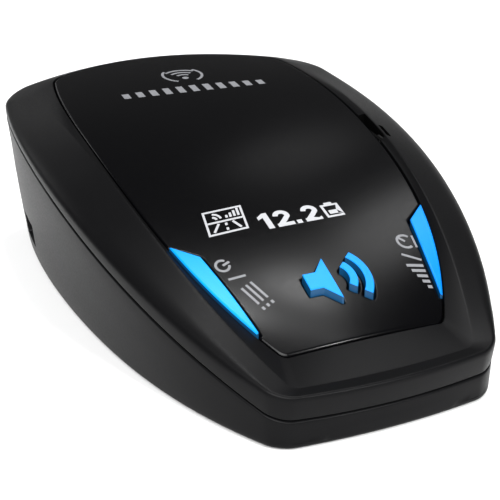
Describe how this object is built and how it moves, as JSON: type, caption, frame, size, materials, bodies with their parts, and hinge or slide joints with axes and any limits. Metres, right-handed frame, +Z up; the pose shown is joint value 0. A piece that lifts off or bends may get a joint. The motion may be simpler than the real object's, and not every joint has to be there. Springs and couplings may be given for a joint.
{
  "type": "radar detector",
  "caption": "Wedge-shaped dashboard radar detector: matte black two-part case, gloss display window, two lit edge keys, raised symbol key and a side power socket.",
  "frame": {"origin": "middle of the footprint, on the surface that the grip pad rests on", "axes": "+Y forward to the windscreen, +Z up, +X to the driver's right"},
  "size_m": [0.078, 0.1139, 0.034],
  "materials": {
    "case_lower": "fine satin texture",
    "case_upper": "satin",
    "seal_rubber": "matte",
    "window_gloss": "polished piano black",
    "ir_window": "smoked, polished",
    "pad_rubber": "fine grip texture",
    "plate_foil": "brushed foil, blank",
    "mesh_cloth": "fine black woven mesh",
    "zinc_steel": "dark zinc",
    "key_blue": "lit sky blue, translucent",
    "white_plastic": "moulded",
    "cream_plastic": "moulded",
    "black_plastic": "moulded",
    "led_clear": "clear resin",
    "board_green": "solder mask",
    "brass_screw": "yellow zinc",
    "display_glass": "polished glass face",
    "foam_black": "soft foam",
    "flex_amber": "polyimide film",
    "horn_cast": "die cast",
    "tin_plate": "tinned",
    "patch_ceramic": "satin",
    "cone_paper": "pressed paper",
    "magnet_grey": "sintered",
    "chip_epoxy": "moulded epoxy",
    "can_aluminium": "drawn can",
    "ferrite": "sintered ferrite",
    "cell_steel": "pressed steel"
  },
  "bodies": {
    "case": {"lower_shell": "case_lower", "upper_shell": "case_upper", "case_seal": "seal_rubber", "display_window": "window_gloss", "front_window": "ir_window", "grip_pad": "pad_rubber", "rating_plate": "plate_foil", "sound_mesh": "mesh_cloth", "case_screws": "zinc_steel", "switch_bodies": "black_plastic", "key_leds": "led_clear", "main_board": "board_green", "board_screws": "brass_screw", "display_module": "display_glass", "display_gasket": "foam_black", "display_flex": "flex_amber", "horn_antenna": "horn_cast", "mixer_shield": "tin_plate", "laser_sensor": "black_plastic", "laser_lens": "ir_window", "gps_antenna": "patch_ceramic", "speaker_frame": "black_plastic", "speaker_cone": "cone_paper", "speaker_magnet": "magnet_grey", "usb_shell": "tin_plate", "usb_tongue": "black_plastic", "processor": "chip_epoxy", "chips": "chip_epoxy", "capacitors": "can_aluminium", "power_coil": "ferrite", "backup_cell": "cell_steel", "cell_holder": "cream_plastic"},
    "power_key": {"power_key_cap": "key_blue", "power_key_post": "white_plastic", "power_switch_stem": "cream_plastic"},
    "volume_key": {"volume_key_cap": "key_blue", "volume_key_post": "white_plastic", "volume_switch_stem": "cream_plastic"},
    "mute_key": {"mute_key_symbol": "key_blue", "mute_key_post": "white_plastic", "mute_switch_stem": "cream_plastic"}
  },
  "joints": [
    {"name": "power_press", "type": "slide", "parent": "case", "child": "power_key", "axis": [0, 0, -1], "range_m": [0, 0.0004], "stiffness_N_per_m": 40, "springref_m": -0.004},
    {"name": "volume_press", "type": "slide", "parent": "case", "child": "volume_key", "axis": [0, 0, -1], "range_m": [0, 0.0004], "stiffness_N_per_m": 40, "springref_m": -0.004},
    {"name": "mute_press", "type": "slide", "parent": "case", "child": "mute_key", "axis": [0, 0, -1], "range_m": [0, 0.0004], "stiffness_N_per_m": 40, "springref_m": -0.004}
  ]
}
